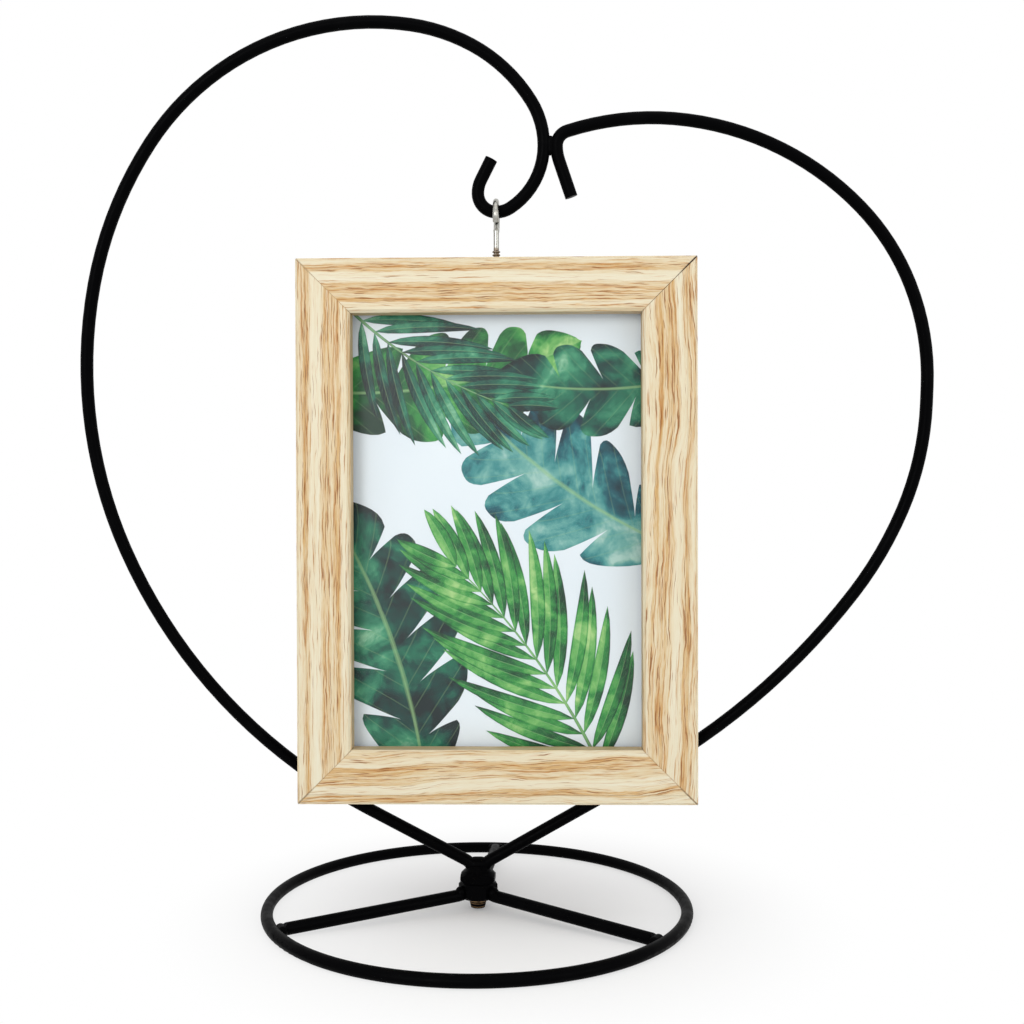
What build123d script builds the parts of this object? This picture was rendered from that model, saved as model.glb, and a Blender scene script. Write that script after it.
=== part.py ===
from build123d import *
import math
import os

# Heart shaped photo frame: a wooden 3.5 x 5 inch frame hangs by a screw eye
# from the hook of a heart bent from black wire, which is screwed into a wire
# base. Millimetres and degrees. +X is to the right as seen from the front,
# the front faces -Y, +Z is up and the base stands on z = 0.

# Base
wire_d = 3.5
ring_od = 126.0
ring_flat = 0.1            # depth of the narrow flat that the ring stands on
spoke_names = ("spoke_back", "spoke_left", "spoke_right")
first_spoke_angle = 86.0   # seen from above, from +X
spoke_hub_z = 4.7          # height of a spoke's axis at the nut
spoke_ring_z = 2.0         # height of a spoke's axis at the ring
spoke_foot_slope = 20.0    # of the cut under a spoke's inner end
spoke_end_slope = 45.0     # of the cut over its outer end

# Bolt and nut of the hub, size M6
thread_d = 5.9
thread_pitch = 1.0
thread_tip_d = 4.2
hex_flats = 10.0
nut_t = 4.7
nut_z = 3.5                # underside of the nut above the table
nut_bevels = (0.9, 0.9)    # of the corners, at the underside and on top
bolt_head_t = 3.0
bolt_head_bevels = (0.6, 1.5)
bolt_l = 7.7               # from under the head to the end of the thread
bore_gap = 0.05            # radial clearance of every turning shaft
face_gap = 0.1             # clearance between faces that turn on each other

# Heart, in its own plane: bends are (radius as a share of heart_w, turn), from the hub up
heart_w = 240.0
heart_lean = 7.1           # forward lean
rise_left = 28.5           # slope of each wire as it leaves the hub
rise_right = 30.5
touch_gap = 0.05           # between wires that lie side by side under a weld
left_run_share = 0.14
left_bend_shares = (
    (0.63, 39.5), (0.53, 34.5), (0.45, 22.5), (0.315, 63.0),
    (0.215, 19.5), (0.18, 29.5), (0.092, 33.0))
left_drop_shares = ((0.0833, 57.5), (0.0302, 32.5))
right_low_shares = ((0.808, 23.5), (0.439, 15.0), (0.352, 21.0))
right_high_shares = (
    (0.294, 23.5), (0.281, 22.0), (0.349, 40.0), (0.323, 22.0), (0.0171, 72.5))
stub_bend_shares = ((0.05, 19.5),)
stub_l = 10.5
neck_bend_share = 1.03     # of the wire, as are the bends of the hook's tip
hook_tip_shares = ((1.45, 88.0), (2.2, 29.0))
hook_tip_l = 6.4

# Welds, as shares of the wire's radius: radius of the bead, half of its straight
# part, and where its middle lies
ring_weld_shares = (0.86, 0.7)
ring_weld_place_share = 1.25         # inwards from the ring's centre line
hub_weld_share = 1.05
hub_weld_place_shares = (0.2, 0.42)  # out of the nut, and above the spoke's axis
cleft_weld_shares = (0.78, 0.75)
neck_weld_shares = (1.2, 0.5)
neck_weld_place_share = 1.1          # above the bolt's head
collar_shares = (2.25, 1.65, 0.9)    # foot and top radius, and height

# Screw eye
eye_wire_d = 1.7
eye_od = 9.8
eye_open_angle = 58.0      # between the loop's end and the shank
eye_gap = 0.2              # between the loop and the hook's wire
eye_stand = 7.5            # from the top rail to the underside of the loop
eye_back = 1.25            # behind the middle of the frame's thickness
eye_shank_d = 1.5
eye_thread_d = 2.2
eye_thread_pitch = 0.9
eye_thread_stand = 3.0     # thread that stays out of the wood
eye_thread_tip_d = 0.4
eye_screw_l = 9.0          # thread in the wood

# Frame
hang_turns = (1.2, -0.3, -0.9)       # how it hangs, turned at the hook about X, Y and Z
print_w = 88.9
print_h = 127.0
print_side_gap = 0.55      # between the print and the wood, on each side
print_end_gap = 1.5        # the same at the top and at the bottom
rail_w = 15.0
rebate_w = 5.0             # how far the rails reach over the glass
lip_depth = 5.8
glass_t = 2.0
print_t = 0.3
board_t = 3.0
board_recess = 0.1
pane_gap = 0.3             # around the glass and the board
mitre_gap = 0.08           # half of the seam in each corner
edge_r = 0.6
bead_w = 2.6
bead_drop = 0.3
lip_bevel = 0.8
back_bevel = 0.5

# Nails and turn buttons on the back of the frame
nail_leg = 4.0
nail_t = 0.5
nail_depth = 6.0
nail_inset_shares = (0.25, 0.55)     # of the width of the wood behind the rebate
button_l = 20.0
button_w = 7.0
button_t = 1.0
button_inset_share = 0.5             # of the same width
button_height_share = 0.25           # of frame_h, up and down from the middle
screw_d = 3.0
screw_l = 7.0
screw_head_d = 5.6
screw_head_t = 1.6
screw_head_round_share = 0.6         # of the head's thickness
screw_slot_w = 0.8
screw_slot_depth = 0.7

# Threads are drawn as rings: depth, and the corners of one ring, as shares of the pitch
ring_depth_share = 0.45
ring_corner_shares = ((0.1, 0), (0.4, 1), (0.6, 1), (0.9, 0))

cut = 1.0                  # overrun of every cutting tool

# Sizes worked out from those above
wire_r = wire_d / 2
ring_r = ring_od / 2 - wire_r
ring_z = wire_r - ring_flat
hub_r = hex_flats / 2
head_z = nut_z + nut_t + face_gap
head_top = head_z + bolt_head_t
frame_t = lip_depth + glass_t + print_t + board_t + board_recess
land_w = rail_w - rebate_w
frame_w = print_w + 2 * (print_side_gap + land_w)
frame_h = print_h + 2 * (print_end_gap + land_w)
pane_w = frame_w - 2 * (land_w + pane_gap)
pane_h = frame_h - 2 * (land_w + pane_gap)

on_floor = (Align.CENTER, Align.CENTER, Align.MIN)
under_floor = (Align.CENTER, Align.CENTER, Align.MAX)

parts = {}


def rod(start, end, radius):
    axis = Vector(*end) - Vector(*start)
    return Plane(origin=start, z_dir=axis) * Cylinder(radius, axis.length, align=on_floor)


# A weld bead: a rod with round ends, with its middle at the plane's origin and along its X.
def bead(plane, shares):
    radius = shares[0] * wire_r
    half = shares[1] * wire_r
    ends = Pos(X=-half) * Sphere(radius) + Pos(X=half) * Sphere(radius)
    return plane * (ends + rod((-half, 0, 0), (half, 0, 0), radius))


def hexagon(thickness, bevels, flat_angle):
    hexagon_face = RegularPolygon(hex_flats / 2, 6, major_radius=False, rotation=flat_angle - 30)
    turned = Cylinder(hex_flats / math.sqrt(3), thickness, align=on_floor)
    for bevel, end in zip(bevels, (0, -1)):
        turned = chamfer(turned.edges().filter_by(GeomType.CIRCLE).sort_by(Axis.Z)[end], bevel)
    return extrude(hexagon_face, thickness) & turned


# A threaded shank that hangs from z = 0 and tapers to its tip.
def thread(crest_d, pitch, length, tip_d):
    root_r = crest_d / 2 - ring_depth_share * pitch
    tip_l = crest_d - tip_d
    points = [(0, 0), (root_r, 0)]
    for turn in range(int((length - tip_l) / pitch)):
        for down, out in ring_corner_shares:
            points.append((root_r + out * ring_depth_share * pitch, -(turn + down) * pitch))
    points += [(root_r, tip_l - length), (tip_d / 2, -length), (0, -length)]
    return revolve(Plane.XZ * make_face(Polyline(*points, close=True)), Axis.Z)


# A wire's path in the plane of the heart: runs, and bends that turn left when
# positive. It returns the edges and the point at the end of each.
def wire_path(start, heading, moves):
    point = Vector(*start)
    direction = Vector(1, 0).rotate(Axis.Z, heading)
    edges = []
    ends = []
    for size, turn in moves:
        if turn:
            edge = JernArc(point, direction, size, turn)
        else:
            edge = Line(point, point + direction * size)
        edges.append(edge)
        point = edge @ 1
        direction = edge % 1
        ends.append(point)
    return edges, ends


def bends(shares, size, side):
    return [(share * size, side * turn) for share, turn in shares]


def swept(path, radius):
    section = Plane(origin=path @ 0, z_dir=path % 0) * Circle(radius)
    return sweep(section, path=path)


# Base: a wire ring with three spokes, welded to a nut
ring = Pos(Z=ring_z) * Torus(ring_r, wire_r)
ring -= Box(ring_od + cut, ring_od + cut, wire_d, align=under_floor)
parts["base_ring"] = ring

nut = Pos(Z=nut_z) * hexagon(nut_t, nut_bevels, first_spoke_angle)
nut -= rod((0, 0, nut_z - cut), (0, 0, head_z), thread_d / 2 + bore_gap)
parts["base_nut"] = nut

over = Box(ring_od, ring_od, ring_od, align=on_floor)
under = Box(ring_od, ring_od, ring_od, align=under_floor)
ring_welds = []
hub_welds = []
for index, name in enumerate(spoke_names):
    turn = Rot(Z=first_spoke_angle + index * 360 / len(spoke_names))
    spoke = turn * rod((hub_r - cut, 0, spoke_hub_z), (ring_r, 0, spoke_ring_z), wire_r)
    spoke -= turn * Pos(X=hub_r, Z=nut_z) * Rot(Y=spoke_foot_slope) * under
    spoke -= turn * Pos(X=ring_r - wire_d, Z=spoke_ring_z + wire_r) * Rot(Y=spoke_end_slope) * over
    spoke = spoke - nut - ring
    parts[name] = spoke
    ring_weld_plane = Plane(
        origin=(ring_r - ring_weld_place_share * wire_r, 0, spoke_ring_z),
        x_dir=(0, 1, 0), z_dir=(0, 0, 1))
    ring_welds.append(turn * bead(ring_weld_plane, ring_weld_shares) - spoke - ring)
    out, up = hub_weld_place_shares
    hub_weld = Pos(X=hub_r + out * wire_r, Z=spoke_hub_z + up * wire_r) * Sphere(hub_weld_share * wire_r)
    hub_welds.append(turn * hub_weld - spoke - nut)
parts["ring_welds"] = ring_welds
parts["hub_welds"] = hub_welds

# Heart: a bolt with two bent wires welded on its head
bolt = Pos(Z=head_z) * hexagon(bolt_head_t, bolt_head_bevels, first_spoke_angle + 30)
bolt += Pos(Z=head_z) * thread(thread_d, thread_pitch, bolt_l, thread_tip_d)
parts["heart_bolt"] = bolt

lean = math.radians(heart_lean)
heart_plane = Plane(
    origin=(0, 0, head_top), x_dir=(1, 0, 0), z_dir=(0, -math.cos(lean), -math.sin(lean)))
neck_x = (wire_d + touch_gap) / 2
neck_bend_r = neck_bend_share * wire_d
foot = (cut, 0)
left_moves = [foot, (neck_bend_r, 90 - rise_left), (left_run_share * heart_w, 0)]
left_moves += bends(left_bend_shares, heart_w, -1)
cleft_index = len(left_moves) - 1
left_moves += bends(left_drop_shares, heart_w, -1)
hook_index = len(left_moves) - 1
left_moves += bends(hook_tip_shares, wire_d, -1)
left_moves.append((hook_tip_l, 0))
left_edges, left_ends = wire_path((-neck_x, -cut), 90, left_moves)
cleft = left_ends[cleft_index]

# Two straight runs of the right wire take up what is left, so that it meets the
# left wire side by side at the cleft.
foot_moves = [foot, (neck_bend_r, rise_right - 90)]
low_bends = bends(right_low_shares, heart_w, 1)
high_bends = bends(right_high_shares, heart_w, 1)
bend_ends = wire_path((neck_x, -cut), 90, foot_moves + low_bends + high_bends)[1]
rest = cleft + Vector(wire_d + touch_gap, 0) - bend_ends[-1]
rise = math.radians(rise_right)
first_run = rest.X / math.cos(rise)
side_run = rest.Y - first_run * math.sin(rise)
right_moves = foot_moves + [(first_run, 0)] + low_bends + [(side_run, 0)] + high_bends
right_moves += bends(stub_bend_shares, heart_w, 1) + [(stub_l, 0)]
right_edges = wire_path((neck_x, -cut), 90, right_moves)[0]

below_head_top = Pos(Z=head_top) * Box(ring_r, ring_r, ring_r, align=under_floor)
for name, edges in (("heart_wire_left", left_edges), ("heart_wire_right", right_edges)):
    wire = swept(heart_plane * Wire([edge.edge() for edge in edges]), wire_r)
    parts[name] = wire - below_head_top

foot_share, top_share, height_share = collar_shares
neck_weld = Pos(Z=head_top) * Cone(
    foot_share * wire_r, top_share * wire_r, height_share * wire_r, align=on_floor)
neck_weld_plane = Plane(
    origin=heart_plane.from_local_coords(Vector(0, neck_weld_place_share * wire_r)),
    x_dir=heart_plane.x_dir, z_dir=heart_plane.z_dir)
neck_weld += bead(neck_weld_plane, neck_weld_shares)
cleft_weld_plane = Plane(
    origin=heart_plane.from_local_coords(cleft + Vector(neck_x, 0)),
    x_dir=heart_plane.y_dir, z_dir=heart_plane.z_dir)
cleft_weld = bead(cleft_weld_plane, cleft_weld_shares)
for name, weld in (("neck_weld", neck_weld), ("cleft_weld", cleft_weld)):
    parts[name] = weld - parts["heart_wire_left"] - parts["heart_wire_right"] - below_head_top

# Screw eye, with its loop round the lowest point of the hook
eye_r = (eye_od - eye_wire_d) / 2
hook_low = heart_plane.from_local_coords(left_ends[hook_index])
loop_z = hook_low.Z + wire_r + eye_gap + eye_wire_d / 2 - eye_r
rail_top_z = loop_z - eye_od / 2 - eye_stand
loop_plane = Plane(origin=(hook_low.X, hook_low.Y, loop_z), x_dir=(0, 1, 0), z_dir=(1, 0, 0))
loop_path = loop_plane * CenterArc((0, 0), eye_r, -90, 360 - eye_open_angle)
eye = swept(loop_path, eye_wire_d / 2)
thread_top = (hook_low.X, hook_low.Y, rail_top_z + eye_thread_stand)
eye += rod(thread_top, (hook_low.X, hook_low.Y, loop_z - eye_r), eye_shank_d / 2)
eye += Pos(thread_top) * thread(
    eye_thread_d, eye_thread_pitch, eye_thread_stand + eye_screw_l, eye_thread_tip_d)
hang = Pos(hook_low) * Rot(*hang_turns) * Pos(-hook_low)
parts["screw_eye"] = hang * eye

# The frame is built with the middle of its front face at the origin, and then put in its place.
eye_y = frame_t / 2 + eye_back
frame_place = hang * Pos(hook_low.X, hook_low.Y - eye_y, rail_top_z - frame_h / 2)


# One rail along X with mitred ends, with its outer side up at z = 0 and its face at y = 0.
def rail(length):
    outline = [
        Line((bead_w + bead_drop, 0), (rail_w - lip_bevel, 0)),
        Line((rail_w - lip_bevel, 0), (rail_w, lip_bevel)),
        Line((rail_w, lip_bevel), (rail_w, lip_depth)),
        Line((rail_w, lip_depth), (land_w, lip_depth)),
        Line((land_w, lip_depth), (land_w, frame_t)),
        Line((land_w, frame_t), (back_bevel, frame_t)),
        Line((back_bevel, frame_t), (0, frame_t - back_bevel)),
        Line((0, frame_t - back_bevel), (0, bead_drop + edge_r)),
        RadiusArc((0, bead_drop + edge_r), (edge_r, bead_drop), edge_r, short_sagitta=True),
        Line((edge_r, bead_drop), (bead_w, bead_drop)),
        Line((bead_w, bead_drop), (bead_w + bead_drop, 0)),
    ]
    section = make_face(Wire([line.edge() for line in outline]))
    section_plane = Plane(origin=(-length / 2, 0, 0), x_dir=(0, 0, -1), z_dir=(1, 0, 0))
    bar = extrude(section_plane * section, length, dir=(1, 0, 0))
    outer = length / 2 - mitre_gap + cut
    inner = length / 2 - mitre_gap - rail_w - cut
    mitred = Polyline(
        (-outer, cut), (outer, cut), (inner, -rail_w - cut), (-inner, -rail_w - cut), close=True)
    return bar & extrude(Plane.XZ * make_face(mitred), frame_t + cut, both=True)


# Corner nails: bent strips, driven in from the back
nails = []
back_plane = Plane(origin=(0, frame_t, 0), x_dir=(1, 0, 0), z_dir=(0, -1, 0))
for side_x in (-1, 1):
    for side_z in (-1, 1):
        for share in nail_inset_shares:
            bend_x = side_x * (frame_w / 2 - share * land_w)
            bend_z = side_z * (frame_h / 2 - share * land_w)
            end_x = bend_x - side_x * nail_leg
            end_z = bend_z - side_z * nail_leg
            inner_x = bend_x - side_x * nail_t
            inner_z = bend_z - side_z * nail_t
            strip = Polyline(
                (bend_x, bend_z), (end_x, bend_z), (end_x, inner_z),
                (inner_x, inner_z), (inner_x, end_z), (bend_x, end_z), close=True)
            nails.append(extrude(back_plane * make_face(strip), nail_depth, dir=(0, -1, 0)))
parts["corner_nails"] = [frame_place * nail for nail in nails]

# Turn buttons, each on its own screw
button_x = frame_w / 2 - button_inset_share * land_w
button_z = button_height_share * frame_h
button_y = frame_t + face_gap
head_y = button_y + button_t + face_gap
screws = []
screw_holes = []
for side, side_x in (("left", -1), ("right", 1)):
    for level, side_z in (("upper", 1), ("lower", -1)):
        pivot_x = side_x * button_x
        pivot_z = side_z * button_z
        strip = Pos(X=side_x * (button_w - button_l) / 2) * SlotOverall(button_l, button_w)
        strip -= Circle(screw_d / 2 + bore_gap)
        button_plane = Plane(origin=(pivot_x, button_y, pivot_z), x_dir=(1, 0, 0), z_dir=(0, 1, 0))
        button = extrude(button_plane * strip, button_t)
        parts[f"turn_button_{level}_{side}"] = frame_place * button
        shank = rod((pivot_x, head_y, pivot_z), (pivot_x, frame_t - screw_l, pivot_z), screw_d / 2)
        screw_holes.append(shank)
        head_end = (pivot_x, head_y + screw_head_t, pivot_z)
        head = rod((pivot_x, head_y, pivot_z), head_end, screw_head_d / 2)
        rim = head.edges().filter_by(GeomType.CIRCLE).sort_by(Axis.Y)[-1]
        head = fillet(rim, screw_head_round_share * screw_head_t)
        slot = Pos(head_end) * Box(screw_head_d, 2 * screw_slot_depth, screw_slot_w)
        screws.append(frame_place * (shank + head - slot))
parts["button_screws"] = screws

# Rails, cut for the eye, the nails and the screws
eye_hole = rod(
    (0, eye_y, frame_h / 2 + cut), (0, eye_y, frame_h / 2 - eye_screw_l - bore_gap),
    eye_thread_d / 2 + bore_gap)
rails = (
    ("rail_top", 0, frame_w, frame_h), ("rail_right", 90, frame_h, frame_w),
    ("rail_bottom", 180, frame_w, frame_h), ("rail_left", 270, frame_h, frame_w))
for name, turn, length, across in rails:
    piece = Rot(Y=turn) * Pos(Z=across / 2) * rail(length)
    piece = piece - screw_holes - nails
    if name == "rail_top":
        piece -= eye_hole
    parts[name] = frame_place * piece

# Glass, print and backing board, one behind the other in the rebate
layer_y = lip_depth
for name, width, height, thickness in (
        ("glass_pane", pane_w, pane_h, glass_t),
        ("photo_print", print_w, print_h, print_t),
        ("backing_board", pane_w, pane_h, board_t)):
    layer = Box(width, thickness, height, align=(Align.CENTER, Align.MIN, Align.CENTER))
    parts[name] = frame_place * Pos(Y=layer_y) * layer
    layer_y += thickness

# The origin is under the middle of the whole object's box, on the table.
solids = {}
for name, shape in parts.items():
    pieces = shape if isinstance(shape, list) else [shape]
    solids[name] = [solid for piece in pieces for solid in piece.solids()]
box = Compound([solid for group in solids.values() for solid in group]).bounding_box()
to_origin = Pos(-box.center().X, -box.center().Y, 0)

os.makedirs("parts", exist_ok=True)
for name, group in solids.items():
    group = [to_origin * solid for solid in group]
    export_step(group[0] if len(group) == 1 else Compound(group), f"parts/{name}.step")

print("runs of the right wire", round(first_run, 2), round(side_run, 2))
for name, place in (
        ("axis of the bolt", Pos()), ("lowest point of the hook", Pos(hook_low)),
        ("middle of the frame's front", frame_place)):
    print(name, [round(value, 3) for value in (to_origin * place).position])
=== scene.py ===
import bmesh
import bpy
import math
from mathutils import Matrix, Vector


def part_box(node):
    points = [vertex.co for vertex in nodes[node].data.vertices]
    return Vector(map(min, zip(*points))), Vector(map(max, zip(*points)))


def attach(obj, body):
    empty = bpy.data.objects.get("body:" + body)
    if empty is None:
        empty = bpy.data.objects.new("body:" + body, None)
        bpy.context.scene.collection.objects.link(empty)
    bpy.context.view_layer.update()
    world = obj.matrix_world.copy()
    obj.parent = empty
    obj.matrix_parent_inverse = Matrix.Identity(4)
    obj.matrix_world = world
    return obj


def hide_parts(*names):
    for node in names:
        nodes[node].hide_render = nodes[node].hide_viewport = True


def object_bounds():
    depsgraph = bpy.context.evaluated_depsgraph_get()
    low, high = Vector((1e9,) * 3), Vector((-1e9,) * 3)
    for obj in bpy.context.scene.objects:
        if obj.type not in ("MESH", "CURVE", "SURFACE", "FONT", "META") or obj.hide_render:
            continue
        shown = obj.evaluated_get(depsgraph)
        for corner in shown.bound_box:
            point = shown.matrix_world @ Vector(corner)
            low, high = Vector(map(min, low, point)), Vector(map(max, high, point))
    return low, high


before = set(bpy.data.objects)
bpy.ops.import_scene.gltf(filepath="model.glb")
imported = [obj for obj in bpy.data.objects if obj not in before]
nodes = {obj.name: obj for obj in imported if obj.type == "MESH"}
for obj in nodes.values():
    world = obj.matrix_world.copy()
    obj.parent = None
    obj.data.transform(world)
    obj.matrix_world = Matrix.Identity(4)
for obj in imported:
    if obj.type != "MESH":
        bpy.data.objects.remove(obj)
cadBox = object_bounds()
print("frame loaded with", len(nodes), "nodes")

mm = 0.001


# Small helpers for shader trees. In the values further down, a noise is its scale (features per
# metre), detail, roughness and distortion, as many of them as are given. A range is the two ends
# that a number is read between and, where four numbers stand, the two that it is turned into.
def newMaterial(name):
    material = bpy.data.materials.new(name)
    material.use_nodes = True
    return material, material.node_tree, material.node_tree.nodes["Principled BSDF"]


def feed(tree, value, socket):  # a value is a number, a colour or another node's output
    if isinstance(value, bpy.types.NodeSocket):
        tree.links.new(value, socket)
    else:
        socket.default_value = value


def setInputs(tree, node, inputs):
    for key, value in inputs.items():
        feed(tree, value, node.inputs[key])


def addNode(tree, kind, settings=None, inputs=None):
    node = tree.nodes.new(kind)
    for key, value in (settings or {}).items():
        setattr(node, key, value)
    setInputs(tree, node, inputs or {})
    return node


def calc(tree, operation, first, second=0.0, third=0.0, clamp=False):
    node = addNode(tree, "ShaderNodeMath", {"operation": operation, "use_clamp": clamp})
    for value, socket in zip((first, second, third), node.inputs):
        feed(tree, value, socket)
    return node.outputs[0]


def spread(tree, value, low, high, newLow=0.0, newHigh=1.0, smooth=True):
    kind = "SMOOTHSTEP" if smooth else "LINEAR"
    node = addNode(tree, "ShaderNodeMapRange", {"interpolation_type": kind}, {
        "Value": value, "From Min": low, "From Max": high, "To Min": newLow, "To Max": newHigh})
    return node.outputs["Result"]


def ramp(tree, value, stops):  # stops are (place, colour)
    node = addNode(tree, "ShaderNodeValToRGB", inputs={"Fac": value})
    elements = node.color_ramp.elements
    while len(elements) < len(stops):
        elements.new(0.5)
    for element, (place, colour) in zip(elements, stops):
        element.position = place
        element.color = (*colour, 1)
    return node.outputs["Color"]


def mixColour(tree, factor, first, second):
    node = addNode(tree, "ShaderNodeMix", {"data_type": "RGBA"})
    for value, socket in ((factor, 0), (first, 6), (second, 7)):  # 6 and 7 are the node's two colours
        feed(tree, (*value, 1) if isinstance(value, tuple) else value, node.inputs[socket])
    return node.outputs[2]


def noise(tree, vector, scale, detail=2.0, roughness=0.5, distortion=0.0):
    node = addNode(tree, "ShaderNodeTexNoise", inputs={
        "Vector": vector, "Scale": scale, "Detail": detail, "Roughness": roughness,
        "Distortion": distortion})
    return node.outputs["Fac"]


def cloud(tree, values):  # values are a noise and a range
    return spread(tree, noise(tree, ownPlace(tree), *values[0]), *values[1])


def ownPlace(tree):  # the place in the part's own frame, which stays with a piece that moves
    return addNode(tree, "ShaderNodeTexCoord").outputs["Object"]


def split(tree, vector):
    return addNode(tree, "ShaderNodeSeparateXYZ", inputs={0: vector}).outputs


def bump(tree, shader, height, strength, depth):
    node = addNode(tree, "ShaderNodeBump", inputs={
        "Height": height, "Strength": strength, "Distance": depth})
    feed(tree, node.outputs["Normal"], shader.inputs["Normal"])


def shade(colour):  # a colour as a paint programme shows it, 0 to 255, made linear
    return tuple(((c / 255 + 0.055) / 1.055) ** 2.4 if c > 10 else c / 255 / 12.92 for c in colour)


def paint(nodeName, material):
    mesh = nodes[nodeName].data
    mesh.materials.clear()
    mesh.materials.append(material)


# Small helpers for what the script adds itself
def addObject(name, data):
    thing = bpy.data.objects.new(name, data)
    bpy.context.scene.collection.objects.link(thing)
    return thing


def rectangle(halfWide, halfTall):
    return [(-halfWide, -halfTall), (halfWide, -halfTall), (halfWide, halfTall), (-halfWide, halfTall)]


def addPrism(soft, *outlines):  # two outlines with as many points each, closed into a solid
    front, back = ([soft.verts.new(point) for point in outline] for outline in outlines)
    soft.faces.new(front)
    soft.faces.new(back[::-1])
    for first in range(len(front)):
        second = (first + 1) % len(front)
        soft.faces.new((front[second], front[first], back[first], back[second]))


def closedMesh(name, soft):
    bmesh.ops.recalc_face_normals(soft, faces=soft.faces[:])
    mesh = bpy.data.meshes.new(name)
    soft.to_mesh(mesh)
    soft.free()
    return mesh


# The frame hangs a little askew: its own axes, with the middle of the print at their origin
hangValues = {
    "turns": (1.2, -0.3, -0.9),            # degrees about X, Y and Z
    "halfWide": 55.0,                      # mm, half of the frame's width
    "halfTall": 75.0,
    "front": 7.95,                         # mm, from the middle of the print to the front of the rails
}


def hangMatrix(values):
    low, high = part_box("photo_print")
    turned = Matrix.Identity(4)
    for turn, axis in zip(values["turns"], "XYZ"):
        turned = turned @ Matrix.Rotation(math.radians(turn), 4, axis)
    return Matrix.Translation((low + high) / 2) @ turned


def hungPlace(tree):  # a place in the frame's own axes, in mm
    back = hangMatrix(hangValues).inverted()
    node = addNode(tree, "ShaderNodeMapping", {"vector_type": "POINT"}, {
        "Vector": ownPlace(tree), "Location": back.translation, "Rotation": back.to_euler()})
    scaled = addNode(tree, "ShaderNodeVectorMath", {"operation": "SCALE"}, {
        0: node.outputs["Vector"], "Scale": 1 / mm})
    return scaled.outputs["Vector"]


def hungObject(name, mesh, material):  # the mesh comes in the frame's own axes, in mm
    mesh.transform(hangMatrix(hangValues) @ Matrix.Scale(mm, 4))
    mesh.materials.append(material)
    return addObject(name, mesh)


# Camera, at the photograph's place
cameraValues = {
    "lens": 42.229,
    "sensor": 36,
    "nearest": 0.01,                       # metres, where its view begins
    "place": (3.762, -356.57, 113.21),     # mm
    "yaw": -0.3486,                        # degrees, as are the next two
    "pitch": -0.6515,
    "roll": 0.144,
}


def makeCamera(values):
    yaw, pitch, roll = (math.radians(values[key]) for key in ("yaw", "pitch", "roll"))
    ahead = Vector((math.sin(yaw) * math.cos(pitch), math.cos(yaw) * math.cos(pitch), -math.sin(pitch)))
    level = Vector((math.cos(yaw), -math.sin(yaw), 0))
    above = level.cross(ahead)
    right = math.cos(roll) * level + math.sin(roll) * above
    up = math.cos(roll) * above - math.sin(roll) * level
    turn = Matrix((right, up, -ahead)).transposed()
    data = bpy.data.cameras.new("camera")
    data.lens = values["lens"]
    data.sensor_width = values["sensor"]
    data.clip_start = values["nearest"]
    camera = addObject("camera", data)
    camera.matrix_world = Matrix.Translation(Vector(values["place"]) * mm) @ turn.to_4x4()
    bpy.context.scene.camera = camera


makeCamera(cameraValues)
print("camera placed")


# Studio: a white surround with soft lamps
studioValues = {
    "floorSize": 6.0,              # metres
    "floorColour": (0.9, 0.9, 0.9, 1),
    "plainWhite": (1, 1, 1, 1),
    "fade": (0.005, 0.105, 0.2, 1),        # metres from the middle, and the floor's share of plain
                                           # white there, which no shadow reaches
    "surround": 0.6,               # strength of the light from all round
    "lamps": (                     # name, place, size in metres, watts
        ("keyLamp", (-0.5, -1.15, 0.35), 0.5, 4.1),
        ("sideLamp", (1.0, -0.95, 0.4), 0.9, 3.0),
        ("topLamp", (0.0, -0.5, 1.2), 1.3, 2.7),
    ),
}


def straightRay(tree):  # 1 for what the camera sees, by itself, in metal or through glass
    path = addNode(tree, "ShaderNodeLightPath")
    seen = calc(tree, "MAXIMUM", path.outputs["Is Camera Ray"], path.outputs["Is Glossy Ray"])
    return calc(tree, "MAXIMUM", seen, path.outputs["Is Transmission Ray"])


def mixSurface(tree, outputKind, factor, first, second):
    mix = addNode(tree, "ShaderNodeMixShader", inputs={
        0: factor, 1: first.outputs[0], 2: second.outputs[0]})
    addNode(tree, outputKind, inputs={"Surface": mix.outputs[0]})


def makeFloor(values):
    mesh = bpy.data.meshes.new("floor")
    half = values["floorSize"] / 2
    mesh.from_pydata([(x, y, 0) for x, y in rectangle(half, half)], [], [(0, 1, 2, 3)])
    floor = addObject("floor", mesh)
    material = bpy.data.materials.new("floorWhite")
    material.use_nodes = True
    tree = material.node_tree
    tree.nodes.clear()
    away = addNode(tree, "ShaderNodeVectorMath", {"operation": "LENGTH"}, {0: ownPlace(tree)})
    plain = spread(tree, away.outputs["Value"], *values["fade"])
    plain = calc(tree, "MULTIPLY", plain, straightRay(tree))
    matte = addNode(tree, "ShaderNodeBsdfDiffuse", inputs={"Color": values["floorColour"]})
    white = addNode(tree, "ShaderNodeEmission", inputs={"Color": values["plainWhite"], "Strength": 1.0})
    mixSurface(tree, "ShaderNodeOutputMaterial", plain, matte, white)
    mesh.materials.append(material)


def makeSurround(values):
    world = bpy.data.worlds.new("surround")
    bpy.context.scene.world = world
    world.use_nodes = True
    tree = world.node_tree
    tree.nodes.clear()
    light, white = (addNode(tree, "ShaderNodeBackground", inputs={
        "Color": values["plainWhite"], "Strength": strength}) for strength in (values["surround"], 1.0))
    mixSurface(tree, "ShaderNodeOutputWorld", straightRay(tree), light, white)


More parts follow.
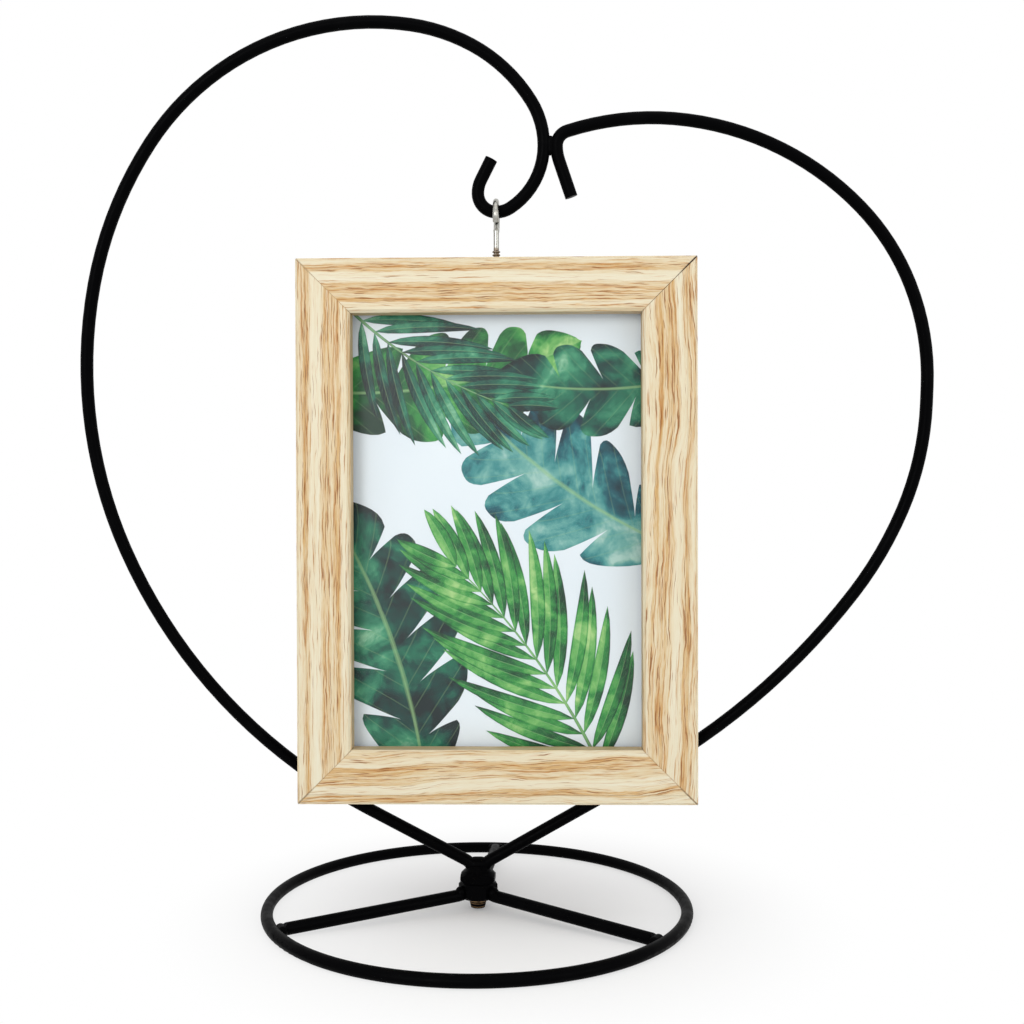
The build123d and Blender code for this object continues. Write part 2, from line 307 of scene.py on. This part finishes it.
def makeLamps(values):
    middle = (cadBox[0] + cadBox[1]) / 2
    for name, place, size, watts in values["lamps"]:
        data = bpy.data.lights.new(name, "AREA")
        data.shape = "DISK"
        data.size = size
        data.energy = watts
        lamp = addObject(name, data)
        lamp.location = place
        lamp.rotation_euler = (middle - Vector(place)).to_track_quat("-Z", "Y").to_euler()


makeFloor(studioValues)
makeSurround(studioValues)
makeLamps(studioValues)
bpy.context.scene.view_settings.view_transform = "Standard"
print("studio made")


# Black coat on the wires, the nut and the welds
coatValues = {
    "colour": (3, 3, 4),
    "dustColour": (9, 9, 10),
    "dust": ((90, 3, 0.6), (0.5, 0.75, 0, 0.5)),
    "roughness": ((260,), (0.3, 0.7, 0.35, 0.48)),     # noise, and the roughness that it makes
    "ior": 1.08,
    "grain": (2200, 2, 0.6),       # noise in the powder coat
    "relief": (0.35, 0.02 * mm),   # strength and depth
    "names": (
        "base_ring", "spoke_left", "spoke_right", "spoke_back", "base_nut", "ring_welds", "hub_welds",
        "heart_wire_left", "heart_wire_right", "neck_weld", "cleft_weld"),
}


def coatShader(name, values):
    material, tree, shader = newMaterial(name)
    dust = cloud(tree, values["dust"])
    colour = mixColour(tree, dust, shade(values["colour"]), shade(values["dustColour"]))
    setInputs(tree, shader, {
        "Base Color": colour, "Roughness": cloud(tree, values["roughness"]), "IOR": values["ior"]})
    bump(tree, shader, noise(tree, ownPlace(tree), *values["grain"]), *values["relief"])
    return material, tree, shader, colour


blackCoat = coatShader("blackCoat", coatValues)[0]
for name in coatValues["names"]:
    paint(name, blackCoat)
print("black coat on", len(coatValues["names"]), "nodes")


# Bolt: a coated head, and a thread with the coat rubbed off its crests
boltValues = {
    "bareColour": (150, 122, 90),
    "crest": (2.5 * mm, 2.8 * mm),         # from the axis, where the steel begins to show and is bare
    "pitch": 1.0 * mm,
    "turnWear": (0.34, 0.46, 0, 0.9),      # share of a turn from a groove's middle, and the wear there
    "threadTop": (8.1 * mm, 8.0 * mm),     # above the table
    "flakes": ((700, 3), (0.3, 0.6, 0.3, 1)),
}


def boltShader(values):
    material, tree, shader, colour = coatShader("boltSteel", coatValues)
    low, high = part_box("heart_bolt")
    axis = (low + high) / 2
    place = split(tree, ownPlace(tree))
    across = calc(tree, "SUBTRACT", place["X"], axis.x)
    deep = calc(tree, "SUBTRACT", place["Y"], axis.y)
    squares = calc(tree, "ADD", calc(tree, "POWER", across, 2), calc(tree, "POWER", deep, 2))
    reach = calc(tree, "SQRT", squares)
    turn = calc(tree, "FRACT", calc(tree, "DIVIDE", place["Z"], values["pitch"]))
    turn = calc(tree, "ABSOLUTE", calc(tree, "SUBTRACT", turn, 0.5))
    turn = spread(tree, turn, *values["turnWear"])
    crest = calc(tree, "MAXIMUM", spread(tree, reach, *values["crest"]), turn)
    worn = calc(tree, "MULTIPLY", crest, spread(tree, place["Z"], *values["threadTop"]))
    worn = calc(tree, "MULTIPLY", worn, cloud(tree, values["flakes"]))
    bare = mixColour(tree, worn, colour, shade(values["bareColour"]))
    setInputs(tree, shader, {"Base Color": bare, "Metallic": worn})
    return material


paint("heart_bolt", boltShader(boltValues))
print("bolt finished")


# Screw eye: bright nickel, with a tarnished thread
eyeValues = {
    "colour": (170, 170, 164),
    "tarnish": (112, 90, 66),
    "roughness": (0.2, 0.48),      # bright and tarnished
    "threadTop": (190.6 * mm, 190.0 * mm, 0, 0.7),     # above the table, and the tarnish there
    "spots": ((900, 4, 0.65), (0.42, 0.72, 0, 0.4)),
    "drawing": 6000,               # lines per metre, left by the drawing of the wire
    "drawingStretch": (1, 1, 0.08),        # upwards
    "relief": (0.12, 0.02 * mm),
}


def eyeShader(values):
    material, tree, shader = newMaterial("eyeNickel")
    place = ownPlace(tree)
    old = spread(tree, split(tree, place)["Z"], *values["threadTop"])
    tarnish = calc(tree, "ADD", old, cloud(tree, values["spots"]), clamp=True)
    setInputs(tree, shader, {
        "Base Color": mixColour(tree, tarnish, shade(values["colour"]), shade(values["tarnish"])),
        "Roughness": spread(tree, tarnish, 0, 1, *values["roughness"]), "Metallic": 1.0})
    drawn = addNode(tree, "ShaderNodeMapping", inputs={
        "Vector": place, "Scale": values["drawingStretch"]})
    bump(tree, shader, noise(tree, drawn.outputs["Vector"], values["drawing"]), *values["relief"])
    return material


paint("screw_eye", eyeShader(eyeValues))
print("screw eye finished")


# Frame: oak printed foil round each rail, bare fibreboard on the back
woodValues = {
    "wide": 15.0,                  # mm, of a rail
    "wrap": (7.4, 7.6, -1, 1),     # mm from the rail's outer side, and which way the foil goes there
    "bands": (                     # mm from the rail's outer side, tone
        (0.0, 0.34), (1.2, 0.36), (2.0, 0.58), (3.4, 0.6), (4.2, 0.24), (6.4, 0.14), (7.0, 0.46),
        (7.8, 0.52), (10.8, 0.5), (11.4, 0.68), (12.1, 0.6), (12.6, 0.3), (15.0, 0.34)),
    "tones": (                     # tone, colour
        (0.0, (232, 225, 201)), (0.3, (228, 216, 186)), (0.52, (220, 198, 158)),
        (0.74, (208, 170, 114)), (1.0, (188, 138, 76))),
    "grain": {                     # seed step, features per mm along and across, detail, roughness
        "wave": (0, 0.022, 0.05),
        "ripple": (2, 0.22, 0.4),
        "broad": (5, 0.012, 0.42, 3),
        "fine": (7, 0.045, 1.7, 4, 0.65),
        "hair": (9, 0.35, 4.2, 3, 0.65),
        "streak": (11, 0.05, 2.4, 2, 0.55),
        "dash": (13, 0.12, 3.5, 2, 0.45),
    },
    "rippleReach": 0.7,            # mm
    "toneShares": (0.7, 0.95, 0.5),        # of the broad, fine and hair grain
    "richShare": 0.9,              # of the broad grain, in where the wood is rich in streaks and pores
    "rich": (0.25, 0.6),
    "streakRich": 0.06,            # what rich wood adds to the streaks
    "streak": (0.12, 0.19, 0, 0.75),
    "streakColour": (184, 126, 64),
    "dashRich": 0.08,
    "warm": (0.09, 0.18, 0, 0.42),
    "warmColour": (206, 142, 70),  # of the wood round the pores
    "pores": (0.17, 0.21),
    "poreShare": 0.72,
    "poreColour": (124, 66, 20),
    # The next three values paint shade into the mitres: a dark line that stands for the shade in the gap
    "seam": (0.45, 0.12),          # mm from the middle of a mitre's seam, where the painted shade fades out
    "seamOpening": (6.5, 2.0, 0.1, 1),     # mm from the rail's outer side, and how dark the painted seam shade is
    "seamColour": (62, 44, 30),
    # The next three values paint shade on the rail's inner face round the print, darker deeper into the
    # recess
    "lipInset": (14.4, 14.9),      # mm from the rail's outer side
    "lipDepth": (0.6, 1.6, 0, 0.7),        # mm from the rail's front, and how strong the painted shade is there
    "lipShadeColour": (176, 146, 100),
    "backFacing": (0.85, 0.95),
    "flecks": (1500, 4, 0.7),      # noise in the board
    "fleckRange": (0.35, 0.7),
    "fleckShade": 0.62,            # of the board's light
    "boardColour": (168, 132, 94),
    "ior": 1.35,
    "roughness": 0.5,
    "poreRoughness": 0.2,          # more, as is the next
    "boardRoughness": 0.25,
    "heights": (-1.0, 0.6, 0.8),   # of the pores, the hair grain and the board's flecks
    "relief": (0.3, 0.05 * mm),
    # Each rail's name, the axis it runs along, sign of its side, slant, wander in mm, seed, and how
    # dark the painted seam shade is at each end
    "rails": (
        ("rail_top", "X", 1, 0.0, 0.9, 3.1, 0.35, 1.0),
        ("rail_right", "Z", 1, 0.02, 4.2, 17.4, 0.75, 1.0),
        ("rail_bottom", "X", -1, -0.03, 4.4, 29.9, 0.6, 0.75),
        ("rail_left", "Z", -1, 0.0, 0.8, 41.2, 0.6, 0.35)),
}


def grainNoise(tree, along, across, seed, settings):  # about 0
    step, alongScale, acrossScale, *more = settings
    vector = addNode(tree, "ShaderNodeCombineXYZ", inputs={
        0: calc(tree, "MULTIPLY", along, alongScale), 1: calc(tree, "MULTIPLY", across, acrossScale),
        2: seed + step})
    return calc(tree, "SUBTRACT", noise(tree, vector.outputs[0], 1.0, *more), 0.5)


def grainColour(tree, values, along, across, slant, wander, seed):  # with the pores and the hair grain
    grain = values["grain"]
    wave = grainNoise(tree, along, across, seed, grain["wave"])
    bent = calc(tree, "MULTIPLY_ADD", wave, 2 * wander, across)
    bent = calc(tree, "MULTIPLY_ADD", along, slant, bent)
    ripple = grainNoise(tree, along, across, seed, grain["ripple"])
    bent = calc(tree, "MULTIPLY_ADD", ripple, values["rippleReach"], bent)
    broad, fine, hair, streak, dash = (
        grainNoise(tree, along, bent, seed, grain[name])
        for name in ("broad", "fine", "hair", "streak", "dash"))

    wide = values["wide"]
    bands = [(place / wide, (tone, tone, tone)) for place, tone in values["bands"]]
    base = ramp(tree, calc(tree, "DIVIDE", bent, wide), bands)
    tone = base
    for layer, share in zip((broad, fine, hair), values["toneShares"]):
        tone = calc(tree, "MULTIPLY_ADD", layer, share, tone)
    colour = ramp(tree, tone, [(place, shade(stop)) for place, stop in values["tones"]])

    rich = spread(tree, calc(tree, "MULTIPLY_ADD", broad, values["richShare"], base), *values["rich"])
    streak = calc(tree, "MULTIPLY_ADD", rich, values["streakRich"], streak)
    dash = calc(tree, "MULTIPLY_ADD", rich, values["dashRich"], dash)
    pores = spread(tree, dash, *values["pores"])
    for share, name in (
            (spread(tree, streak, *values["streak"]), "streakColour"),
            (spread(tree, dash, *values["warm"]), "warmColour"),
            (calc(tree, "MULTIPLY", pores, values["poreShare"]), "poreColour")):
        colour = mixColour(tree, share, colour, shade(values[name]))
    return colour, pores, hair


def mitreSeamShade(tree, values, along, inset, half, lowSeamShade, highSeamShade):  # painted shade in the mitre's seam, which opens towards the outer corner
    toEnd = calc(tree, "SUBTRACT", half, calc(tree, "ABSOLUTE", along))
    gap = calc(tree, "ABSOLUTE", calc(tree, "SUBTRACT", toEnd, inset))
    atHigh = calc(tree, "GREATER_THAN", along, 0.0)
    strength = calc(tree, "MULTIPLY_ADD", atHigh, highSeamShade - lowSeamShade, lowSeamShade)
    strength = calc(tree, "MULTIPLY", strength, spread(tree, inset, *values["seamOpening"]))
    return calc(tree, "MULTIPLY", spread(tree, gap, *values["seam"]), strength, clamp=True)


def woodShader(values, rail):
    name, axis, side, slant, wander, seed, lowSeamShade, highSeamShade = rail
    material, tree, shader = newMaterial("oak_" + name)
    halves = (hangValues["halfWide"], hangValues["halfTall"])
    half, halfAcross = halves if axis == "X" else halves[::-1]
    place = split(tree, hungPlace(tree))
    along = place[axis]
    outwards = calc(tree, "MULTIPLY", place["Z" if axis == "X" else "X"], float(side))
    inset = calc(tree, "SUBTRACT", halfAcross, outwards)
    deep = calc(tree, "ADD", place["Y"], hangValues["front"])
    wrap = spread(tree, inset, *values["wrap"], smooth=False)
    across = calc(tree, "MULTIPLY_ADD", deep, wrap, inset)

    colour, pores, hair = grainColour(tree, values, along, across, slant, wander, seed)
    # painted shade: a dark line along each mitre seam, darkest where the gap opens
    seam = mitreSeamShade(tree, values, along, inset, half, lowSeamShade, highSeamShade)
    colour = mixColour(tree, seam, colour, shade(values["seamColour"]))
    # painted shade on the lip's inner face, growing deeper into the recess
    lipShade = spread(tree, inset, *values["lipInset"])
    lipShade = calc(tree, "MULTIPLY", lipShade, spread(tree, deep, *values["lipDepth"]))
    colour = mixColour(tree, lipShade, colour, shade(values["lipShadeColour"]))

    facing = split(tree, addNode(tree, "ShaderNodeTexCoord").outputs["Normal"])["Y"]
    back = spread(tree, facing, *values["backFacing"])
    flecks = noise(tree, ownPlace(tree), *values["flecks"])
    light = shade(values["boardColour"])
    dark = tuple(values["fleckShade"] * part for part in light)
    board = mixColour(tree, spread(tree, flecks, *values["fleckRange"]), light, dark)
    rough = calc(tree, "MULTIPLY_ADD", pores, values["poreRoughness"], values["roughness"])
    setInputs(tree, shader, {
        "Base Color": mixColour(tree, back, colour, board), "IOR": values["ior"],
        "Roughness": calc(tree, "MULTIPLY_ADD", back, values["boardRoughness"], rough)})
    poreHeight, hairHeight, fleckHeight = values["heights"]
    height = calc(tree, "MULTIPLY_ADD", pores, poreHeight, calc(tree, "MULTIPLY", hair, hairHeight))
    height = calc(tree, "MULTIPLY_ADD", calc(tree, "MULTIPLY", back, flecks), fleckHeight, height)
    bump(tree, shader, height, *values["relief"])
    return material


for rail in woodValues["rails"]:
    paint(rail[0], woodShader(woodValues, rail))
print("rails finished")


# Glue in the four mitres, which keeps the light out of the seams
glueValues = {
    "section": (                   # mm: inset from the rail's outer side, and depth from its front
        (0.25, 0.95), (0.6, 0.36), (2.7, 0.36), (3.0, 0.06), (14.1, 0.06), (14.85, 0.9), (14.85, 5.6),
        (9.8, 5.6), (9.8, 11.0), (0.6, 11.0), (0.25, 10.6)),
    "openInset": 5.0,              # the upper right mitre gapes as far as this from the outer corner
    "openDepth": 1.6,
    "halfThick": 0.07,
    "colour": (196, 160, 110),
    "darkColour": (150, 114, 72),
    "grain": ((900, 3), (0.35, 0.7)),
    "roughness": 0.6,
}


def glueShader(values):
    material, tree, shader = newMaterial("mitreGlue")
    dark = cloud(tree, values["grain"])
    colour = mixColour(tree, dark, shade(values["colour"]), shade(values["darkColour"]))
    setInputs(tree, shader, {"Base Color": colour, "Roughness": values["roughness"]})
    return material


def openSection(values):  # of the mitre that gapes: the same, but lower near the corner
    section, start, deep = values["section"], values["openInset"], values["openDepth"]
    inner = [point for point in section if point[0] > start]
    return [(section[0][0], deep), (start, deep), *inner, *section[-2:]]


def makeGlue(values):
    soft = bmesh.new()
    half = values["halfThick"] / math.sqrt(2)
    for sideX in (-1, 1):
        for sideZ in (-1, 1):
            section = openSection(values) if sideX == sideZ == 1 else values["section"]
            outlines = [[(
                sideX * (hangValues["halfWide"] - inset - shift), depth - hangValues["front"],
                sideZ * (hangValues["halfTall"] - inset + shift)) for inset, depth in section]
                for shift in (-half, half)]
            addPrism(soft, *outlines)
    glue = hungObject("mitre_glue", closedMesh("mitre_glue", soft), glueShader(values))
    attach(glue, "frame")


makeGlue(glueValues)
print("mitres glued")


# Glass over the print: a pane that ends just in front of the printed leaves
glassValues = {
    "colour": (236, 244, 242),
    "patchColour": (224, 238, 234),
    "patches": 25,                 # per metre
    "smears": ((60, 3), (0.4, 0.8, 0.04, 0.1)),        # noise, and the roughness that it makes
    "mirrorLeast": 0.004,          # share of the light that the glass throws back, seen straight on
    "mirrorMost": 0.9,             # what glancing views add
    "mirrorPower": 5,
    "halfWide": 44.7,              # mm, as are the next four
    "halfTall": 64.7,
    "front": -2.13,                # from the middle of the print
    "back": -0.27,
    "arris": 0.35,                 # of the ground edges
    "arrisSteps": 2,
}


def glassShader(values):  # clear, with a mirror that grows towards glancing views
    material, tree, shader = newMaterial("paneGlass")
    patches = noise(tree, ownPlace(tree), values["patches"])
    slant = addNode(tree, "ShaderNodeLayerWeight", inputs={"Blend": 0.5}).outputs["Facing"]
    slant = calc(tree, "POWER", slant, values["mirrorPower"])
    mirror = calc(tree, "MULTIPLY_ADD", slant, values["mirrorMost"], values["mirrorLeast"])
    inside = addNode(tree, "ShaderNodeNewGeometry").outputs["Backfacing"]
    setInputs(tree, shader, {
        "Base Color": mixColour(tree, patches, shade(values["colour"]), shade(values["patchColour"])),
        "Roughness": cloud(tree, values["smears"]), "Metallic": 1.0,
        "Alpha": calc(tree, "MULTIPLY", mirror, calc(tree, "SUBTRACT", 1, inside))})
    return material


def makeGlass(values):
    soft = bmesh.new()
    corners = rectangle(values["halfWide"], values["halfTall"])
    addPrism(soft, *([(x, values[side], z) for x, z in corners] for side in ("front", "back")))
    bmesh.ops.bevel(
        soft, geom=soft.edges[:], offset=values["arris"], segments=values["arrisSteps"], affect="EDGES")
    pane = hungObject("frame_glass", closedMesh("frame_glass", soft), glassShader(values))
    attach(pane, "frame")
    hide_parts("glass_pane")


makeGlass(glassValues)
print("glass finished")


# Print: paper with a painted pattern of palm fronds and broad leaves
printValues = {
    "paper": (230, 239, 244),
    "paperShade": (224, 234, 240),
    "paperPatches": ((22,), (0.35, 0.7)),
    "paperTooth": 9000,            # per metre
    "relief": (0.03, 0.004 * mm),
    "roughness": 0.42,             # of paper and inks
    "halfWide": 44.45,             # mm, as are the next four
    "halfTall": 63.5,
    "front": 0.15,                 # from the middle of the paper to its front
    "firstLayer": 0.02,            # in front of the paper
    "layerStep": 0.008,
    "inks": {                      # from the darkest wash to the lightest
        "deepInk": ((4, 28, 30), (10, 64, 58), (26, 108, 82), (66, 148, 112), (142, 196, 160)),
        "brightInk": ((8, 50, 32), (20, 94, 48), (52, 144, 66), (112, 180, 98), (176, 212, 140)),
        "tealInk": ((8, 46, 58), (20, 88, 100), (58, 138, 138), (110, 172, 164), (170, 206, 196)),
    },
    "washShift": -1.06,            # how light the washes are where nothing is added
    "washes": (                    # noise, and what it adds to the washes
        ((75, 4, 0.55, 0.6), 2.5), ((260, 3, 0.6, 1.2), 0.5)),
    "fold": (0.46, 0.54, -0.1, 0.12),      # from one side of the leaf to the other, and what it adds
    "edge": (0.72, 1.0, 0, 0.26),          # from the rib to the edge, and what it takes off
    "rib": (0.045, 0.015, 0, 0.6),         # from the rib, and the vein's share
    "vein": (150, 192, 132),
    "sideVeins": 13,               # along the leaf
    "sideVeinLean": 1.2,
    "sideVein": (0.05, 0.0, 0, 0.2),
}

# Places on the print are in mm from its middle. Headings and bends are in degrees. Shares are of the
# leaf's length along it, and of its half width across.
leafValues = {
    "broad": (                     # ink, foot, heading, bend, length, half width, slits on each side
        ("tealInk", (52, -6), 158, -28, 78, 19, (0.22, 0.4, 0.57, 0.73)),
        ("deepInk", (-20, -74), 96, 26, 88, 20, (0.2, 0.36, 0.5, 0.64, 0.78)),
        ("brightInk", (-58, 40), -8, 34, 84, 15, (0.3, 0.47, 0.62, 0.77)),
        ("deepInk", (60, 44), 196, -30, 62, 13, (0.3, 0.5, 0.7)),
    ),
    "frond": (                     # ink, foot, heading, bend, length, longest leaflet, leaflet pairs
        ("brightInk", (34, -78), 112, 24, 84, 38, 15),
        ("deepInk", (-52, 74), -52, 34, 70, 30, 13),
    ),
    "rows": 9,                     # along a patch
    "columns": 8,                  # from the rib to the edge
    "foot": 0.82,                  # less than 1 puts the widest place nearer the foot
    "fullness": 0.75,              # less than 1 fills the outline
    "slit": 0.035,                 # half of its opening at the edge, of the length
    "slitShift": 0.03,             # between the two sides of the leaf
    "slitStart": 0.28,             # of the half width
    "slitCurve": 1.3,
    "lobeRounding": (0.16, 3),     # share taken off the lobe's corners, and how suddenly
    "broadSlant": 0.55,            # towards the tip for each mm outwards
    "leafletSlant": 0.3,
    "leafletShare": (0.16, 0.82),  # the first leaflet's place, and how far on the last one stands
    "leafletSize": (0.22, 0.66, 0.8),      # on a half wave: the foot's place, what the tip adds, fullness
    "leafletSplay": (58, -34),     # degrees at the foot, and what the tip adds
    "leafletSway": (3, 2.3),       # degrees, and the step from pair to pair
    "leafletBend": -16,            # degrees
    "leafletHalfWidth": 0.055,     # of the longest leaflet
    "leafletLayer": 0.0006,        # mm towards the front from leaflet to leaflet
    "stemSteps": 14,
    "stemLength": 0.96,
    "stemTaper": 0.75,
    "stemLayer": 0.004,            # mm in front of the leaf
    "stemSheet": 0.02,             # half of the sheet's width that the stem takes up, as paint
    "broadStem": 0.6,              # mm, half of its width at the foot
    "frondStem": 0.55,
}


def paperShader(values):
    material, tree, shader = newMaterial("printPaper")
    patches = cloud(tree, values["paperPatches"])
    colour = mixColour(tree, patches, shade(values["paper"]), shade(values["paperShade"]))
    setInputs(tree, shader, {"Base Color": colour, "Roughness": values["roughness"]})
    bump(tree, shader, noise(tree, ownPlace(tree), values["paperTooth"]), *values["relief"])
    return material


def inkShader(name, values):
    material, tree, shader = newMaterial(name)
    sheet = split(tree, addNode(tree, "ShaderNodeUVMap").outputs["UV"])
    aside = calc(tree, "ABSOLUTE", calc(tree, "MULTIPLY_ADD", sheet["Y"], 2, -1))
    light = values["washShift"]
    for settings, share in values["washes"]:
        light = calc(tree, "MULTIPLY_ADD", noise(tree, ownPlace(tree), *settings), share, light)
    light = calc(tree, "ADD", light, spread(tree, sheet["Y"], *values["fold"]))
    light = calc(tree, "SUBTRACT", light, spread(tree, aside, *values["edge"]), clamp=True)
    washes = values["inks"][name]
    colour = ramp(tree, light, [(i / (len(washes) - 1), shade(wash)) for i, wash in enumerate(washes)])
    lean = calc(tree, "MULTIPLY", aside, values["sideVeinLean"])
    fan = calc(tree, "SUBTRACT", calc(tree, "MULTIPLY", sheet["X"], values["sideVeins"]), lean)
    line = calc(tree, "ABSOLUTE", calc(tree, "SUBTRACT", calc(tree, "FRACT", fan), 0.5))
    line = spread(tree, line, *values["sideVein"])
    veins = calc(tree, "MAXIMUM", spread(tree, aside, *values["rib"]), line)
    colour = mixColour(tree, veins, colour, shade(values["vein"]))
    setInputs(tree, shader, {"Base Color": colour, "Roughness": values["roughness"]})
    return material


def arcPoint(arc, share):
    foot, heading, bend, length = arc
    start = math.radians(heading)
    turn = math.radians(bend) or 1e-6  # a straight leaf is a very wide arc
    now = start + turn * share
    radius = length / turn
    point = Vector((foot[0] + radius * (math.sin(now) - math.sin(start)),
                    foot[1] - radius * (math.cos(now) - math.cos(start))))
    return point, Vector((math.cos(now), math.sin(now)))


def addPatch(leaf, values, arc, halfWidth, start, stop, side, slit, slant, depth=0.0):
    rows, columns = values["rows"], values["columns"]
    rounding, suddenness = values["lobeRounding"]
    first = len(leaf["points"])
    for row in range(rows + 1):
        for column in range(columns + 1):
            out = column / columns
            opened = slit * max(0.0, out - values["slitStart"]) ** values["slitCurve"]
            share = start + opened + (stop - start - 2 * opened) * row / rows
            centre, direction = arcPoint(arc, share)
            normal = Vector((-direction.y, direction.x))
            width = 0
            if 0 < share < 1:
                width = halfWidth * math.sin(math.pi * share ** values["foot"]) ** values["fullness"]
            swell = 1 - rounding * abs(2 * row / rows - 1) ** suddenness if slit else 1
            reach = out * width * swell
            point = centre + side * normal * reach + direction * slant * reach
            leaf["points"].append((point.x, depth, point.y))
            leaf["uvs"].append((share, 0.5 + 0.5 * side * out))
    for row in range(rows):
        for column in range(columns):
            corner = first + row * (columns + 1) + column
            face = (corner, corner + 1, corner + columns + 2, corner + columns + 1)
            leaf["faces"].append(face if side < 0 else face[::-1])


def addStem(leaf, values, arc, halfWidth):
    steps = values["stemSteps"]
    first = len(leaf["points"])
    for step in range(steps + 1):
        centre, direction = arcPoint(arc, values["stemLength"] * step / steps)
        taper = 1 - values["stemTaper"] * step / steps
        normal = Vector((-direction.y, direction.x)) * halfWidth * taper
        for side in (-1, 1):
            point = centre + side * normal
            leaf["points"].append((point.x, -values["stemLayer"], point.y))
            leaf["uvs"].append((step / steps, 0.5 + values["stemSheet"] * side))
    for step in range(steps):
        corner = first + 2 * step
        leaf["faces"].append((corner, corner + 2, corner + 3, corner + 1))


def broadLeaf(leaf, values, foot, heading, bend, length, halfWidth, slits):
    arc = (foot, heading, bend, length)
    for side in (-1, 1):
        cuts = [0.0, *(cut + values["slitShift"] * side for cut in slits), 1.0]
        for start, stop in zip(cuts, cuts[1:]):
            addPatch(
                leaf, values, arc, halfWidth, start, stop, side, values["slit"], values["broadSlant"])
    addStem(leaf, values, arc, values["broadStem"])


def frondLeaf(leaf, values, foot, heading, bend, length, longest, pairs):
    arc = (foot, heading, bend, length)
    firstShare, moreShare = values["leafletShare"]
    footSize, moreSize, fullness = values["leafletSize"]
    footSplay, moreSplay = values["leafletSplay"]
    sway, swayStep = values["leafletSway"]
    for pair in range(pairs):
        share = firstShare + moreShare * pair / (pairs - 1)
        centre, direction = arcPoint(arc, share)
        ahead = math.degrees(math.atan2(direction.y, direction.x))
        reach = longest * math.sin(math.pi * (footSize + moreSize * share)) ** fullness
        for side in (-1, 1):
            splay = side * (footSplay + moreSplay * share + sway * math.sin(swayStep * pair + side))
            leaflet = (centre, ahead + splay, side * values["leafletBend"], reach)
            depth = -values["leafletLayer"] * (2 * pair + side)
            for half in (-1, 1):
                addPatch(
                    leaf, values, leaflet, values["leafletHalfWidth"] * longest, 0.0, 1.0, half, 0,
                    values["leafletSlant"], depth)
    addStem(leaf, values, arc, values["frondStem"])


def trimToPrint(mesh, halfWide, halfTall):
    soft = bmesh.new()
    soft.from_mesh(mesh)
    for side in (-1, 1):
        for reach, normal in ((halfWide, Vector((side, 0, 0))), (halfTall, Vector((0, 0, side)))):
            geometry = soft.verts[:] + soft.edges[:] + soft.faces[:]
            bmesh.ops.bisect_plane(
                soft, geom=geometry, plane_co=reach * normal, plane_no=normal, clear_outer=True)
    soft.to_mesh(mesh)
    soft.free()


def leafMesh(name, values, shape, front):
    mesh = bpy.data.meshes.new(name)
    mesh.from_pydata([(x, front + y, z) for x, y, z in shape["points"]], [], shape["faces"])
    layer = mesh.uv_layers.new(name="UVMap")
    for loop in mesh.loops:
        layer.data[loop.index].uv = shape["uvs"][loop.vertex_index]
    trimToPrint(mesh, values["halfWide"], values["halfTall"])
    return mesh


def makeLeaves(values, inks):
    leafCount = 0
    for kind, build in (("broad", broadLeaf), ("frond", frondLeaf)):
        for ink, *places in leafValues[kind]:
            leafCount += 1
            shape = {"points": [], "uvs": [], "faces": []}
            build(shape, leafValues, *places)
            front = -values["front"] - values["firstLayer"] - leafCount * values["layerStep"]
            name = f"printed_leaf_{leafCount}"
            leaf = hungObject(name, leafMesh(name, values, shape, front), inks[ink])
            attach(leaf, "frame")
    return leafCount


paint("photo_print", paperShader(printValues))
inks = {name: inkShader(name, printValues) for name in printValues["inks"]}
print("print painted with", makeLeaves(printValues, inks), "leaves")


# Back of the frame: fibre board, zinc plated buttons, screws and nails
backValues = {
    "board": (124, 84, 54),
    "boardFleck": (82, 52, 34),
    "boardPatch": (150, 108, 74),
    "flecks": (1300, 5, 0.7, 0.8),
    "fleckRange": (0.38, 0.68),
    "patches": ((60, 3), (0.4, 0.7, 0, 0.25)),
    "boardRoughness": 0.8,
    "boardRelief": (0.4, 0.05 * mm),
    "zinc": (186, 187, 190),
    "zincDark": (132, 134, 140),
    "zincShare": 0.6,              # of the dark in the darkest cell
    "zincCells": 700,              # per metre
    "zincRoughness": (0.26, 0.42),
    "zincGrain": (3000, 3),
    "zincRelief": (0.15, 0.02 * mm),
    "zincNames": (
        "corner_nails", "button_screws", "turn_button_upper_left", "turn_button_upper_right",
        "turn_button_lower_left", "turn_button_lower_right"),
}


def boardShader(values):
    material, tree, shader = newMaterial("fibreBoard")
    flecks = noise(tree, ownPlace(tree), *values["flecks"])
    dark = spread(tree, flecks, *values["fleckRange"])
    colour = mixColour(tree, dark, shade(values["board"]), shade(values["boardFleck"]))
    colour = mixColour(tree, cloud(tree, values["patches"]), colour, shade(values["boardPatch"]))
    setInputs(tree, shader, {"Base Color": colour, "Roughness": values["boardRoughness"]})
    bump(tree, shader, flecks, *values["boardRelief"])
    return material


def zincShader(values):
    material, tree, shader = newMaterial("zincSteel")
    place = ownPlace(tree)
    spangle = addNode(tree, "ShaderNodeTexVoronoi", inputs={
        "Vector": place, "Scale": values["zincCells"]})
    cells = addNode(tree, "ShaderNodeSeparateColor", inputs={0: spangle.outputs["Color"]}).outputs[0]
    dark = calc(tree, "MULTIPLY", cells, values["zincShare"])
    setInputs(tree, shader, {
        "Base Color": mixColour(tree, dark, shade(values["zinc"]), shade(values["zincDark"])),
        "Roughness": spread(tree, cells, 0, 1, *values["zincRoughness"]), "Metallic": 1.0})
    bump(tree, shader, noise(tree, place, *values["zincGrain"]), *values["zincRelief"])
    return material


paint("backing_board", boardShader(backValues))
zincSteel = zincShader(backValues)
for name in backValues["zincNames"]:
    paint(name, zincSteel)
print("back finished")
